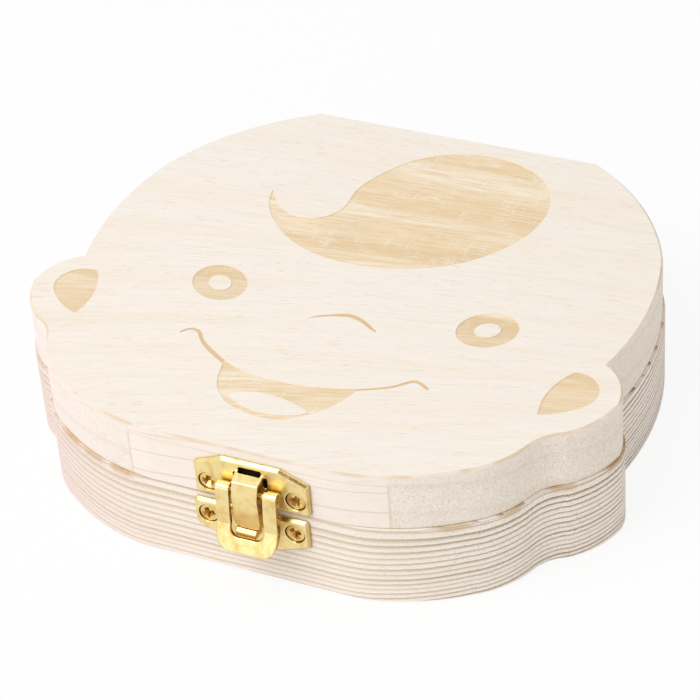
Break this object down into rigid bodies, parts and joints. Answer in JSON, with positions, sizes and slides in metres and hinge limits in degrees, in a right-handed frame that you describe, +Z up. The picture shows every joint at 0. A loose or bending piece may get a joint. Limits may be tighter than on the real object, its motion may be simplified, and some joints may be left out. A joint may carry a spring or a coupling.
{
  "type": "wooden tooth box",
  "caption": "Flat pine keepsake box shaped as a head with ears, with a hinged hollow lid, a brass flap latch and milled wells for milk teeth.",
  "frame": {"origin": "centre of the box's outline on its underside", "axes": "+Z up through the lid, -Y out of the front with the latch, +Y out of the hinged back, +X to the right as seen from the front"},
  "size_m": [0.121, 0.1148, 0.0294],
  "materials": {
    "pine_base": "sanded, unfinished",
    "pine_frame": "sanded, unfinished",
    "pine_panel": "sanded, unfinished, engraved",
    "latch_brass": "polished",
    "hinge_brass": "polished",
    "screw_brass": "polished"
  },
  "bodies": {
    "base": {"base_block": "pine_base", "latch_base_plate": "latch_brass", "latch_base_screws": "screw_brass", "hinge_left_base_leaf": "hinge_brass", "hinge_left_base_screws": "screw_brass", "hinge_left_pin": "hinge_brass", "hinge_right_base_leaf": "hinge_brass", "hinge_right_base_screws": "screw_brass", "hinge_right_pin": "hinge_brass"},
    "lid": {"lid_panel": "pine_panel", "lid_left_stile": "pine_frame", "lid_right_stile": "pine_frame", "lid_front_rail": "pine_frame", "lid_back_rail": "pine_frame", "latch_lid_plate": "latch_brass", "latch_lid_screws": "screw_brass", "latch_pin": "latch_brass", "hinge_left_lid_leaf": "hinge_brass", "hinge_left_lid_screws": "screw_brass", "hinge_right_lid_leaf": "hinge_brass", "hinge_right_lid_screws": "screw_brass"},
    "latch_flap": {"latch_flap": "latch_brass"}
  },
  "joints": [
    {"name": "lid_hinge", "type": "hinge", "parent": "base", "child": "lid", "pos_m": [0, 0.0544, 0.01748], "axis": [-1, 0, 0], "range_deg": [0, 180]},
    {"name": "latch_flap_swing", "type": "hinge", "parent": "lid", "child": "latch_flap", "pos_m": [0.0026, -0.0555, 0.0221], "axis": [-1, 0, 0], "range_deg": [0, 105]}
  ]
}
